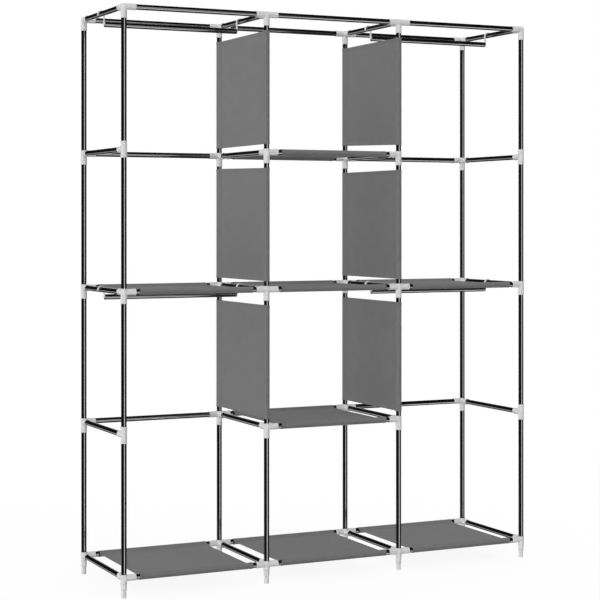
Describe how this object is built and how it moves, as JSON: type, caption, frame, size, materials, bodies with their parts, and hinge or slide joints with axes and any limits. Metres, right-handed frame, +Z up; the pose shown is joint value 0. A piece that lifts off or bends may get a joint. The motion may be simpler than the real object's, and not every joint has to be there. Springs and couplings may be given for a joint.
{
  "type": "portable fabric wardrobe",
  "caption": "Open steel-tube wardrobe frame in bays and tiers, with fabric shelves, fabric dividers and hanging rods that hook over its depth rails.",
  "frame": {"origin": "middle of the footprint, on the floor under the feet", "axes": "+Z up, +X along the width to the right seen from the open front, -Y towards the open front"},
  "size_m": [1.361, 0.3796, 1.6957],
  "materials": {
    "black_tube": "gloss black coated steel tube",
    "pale_plastic": "satin pale grey-white moulded plastic",
    "grey_fabric": "dark grey non-woven fabric with stitched hems"
  },
  "bodies": {
    "frame": {"front_post_1": "black_tube", "front_post_2": "black_tube", "front_post_3": "black_tube", "front_post_4": "black_tube", "back_post_1_and_depth_rails": "black_tube", "back_post_2_and_depth_rails": "black_tube", "back_post_3_and_depth_rails": "black_tube", "back_post_4_and_depth_rails": "black_tube", "front_rail_left_level_1": "black_tube", "front_rail_middle_level_1": "black_tube", "front_rail_right_level_1": "black_tube", "front_rail_middle_level_2": "black_tube", "front_rail_left_level_3": "black_tube", "front_rail_middle_level_3": "black_tube", "front_rail_right_level_3": "black_tube", "front_rail_middle_level_4": "black_tube", "front_rail_left_level_5": "black_tube", "front_rail_middle_level_5": "black_tube", "front_rail_right_level_5": "black_tube", "back_rail_left_level_1": "black_tube", "back_rail_middle_level_1": "black_tube", "back_rail_right_level_1": "black_tube", "back_rail_left_level_2": "black_tube", "back_rail_middle_level_2": "black_tube", "back_rail_right_level_2": "black_tube", "back_rail_left_level_3": "black_tube", "back_rail_middle_level_3": "black_tube", "back_rail_right_level_3": "black_tube", "back_rail_left_level_4": "black_tube", "back_rail_middle_level_4": "black_tube", "back_rail_right_level_4": "black_tube", "back_rail_left_level_5": "black_tube", "back_rail_middle_level_5": "black_tube", "back_rail_right_level_5": "black_tube", "fabric_shelf_left_level_1": "grey_fabric", "fabric_shelf_middle_level_1": "grey_fabric", "fabric_shelf_right_level_1": "grey_fabric", "fabric_shelf_middle_level_2": "grey_fabric", "fabric_shelf_left_level_3": "grey_fabric", "fabric_shelf_middle_level_3": "grey_fabric", "fabric_shelf_right_level_3": "grey_fabric", "fabric_shelf_middle_level_4": "grey_fabric", "fabric_divider_left_tier_2": "grey_fabric", "fabric_divider_right_tier_2": "grey_fabric", "fabric_divider_left_tier_3": "grey_fabric", "fabric_divider_right_tier_3": "grey_fabric", "fabric_divider_left_tier_4": "grey_fabric", "fabric_divider_right_tier_4": "grey_fabric"},
    "rod_left_lower": {"hanging_rod_left_lower": "black_tube", "rod_clip_left_lower_outer": "pale_plastic", "rod_clip_left_lower_inner": "pale_plastic"},
    "rod_right_lower": {"hanging_rod_right_lower": "black_tube", "rod_clip_right_lower_outer": "pale_plastic", "rod_clip_right_lower_inner": "pale_plastic"},
    "rod_left_upper": {"hanging_rod_left_upper": "black_tube", "rod_clip_left_upper_outer": "pale_plastic", "rod_clip_left_upper_inner": "pale_plastic"},
    "rod_right_upper": {"hanging_rod_right_upper": "black_tube", "rod_clip_right_upper_outer": "pale_plastic", "rod_clip_right_upper_inner": "pale_plastic"}
  },
  "joints": [
    {"name": "slide_rod_left_lower", "type": "slide", "parent": "frame", "child": "rod_left_lower", "axis": [0, 1, 0], "range_m": [-0.16, 0.12]},
    {"name": "slide_rod_right_lower", "type": "slide", "parent": "frame", "child": "rod_right_lower", "axis": [0, 1, 0], "range_m": [-0.16, 0.12]},
    {"name": "slide_rod_left_upper", "type": "slide", "parent": "frame", "child": "rod_left_upper", "axis": [0, 1, 0], "range_m": [-0.16, 0.12]},
    {"name": "slide_rod_right_upper", "type": "slide", "parent": "frame", "child": "rod_right_upper", "axis": [0, 1, 0], "range_m": [-0.16, 0.12]}
  ]
}
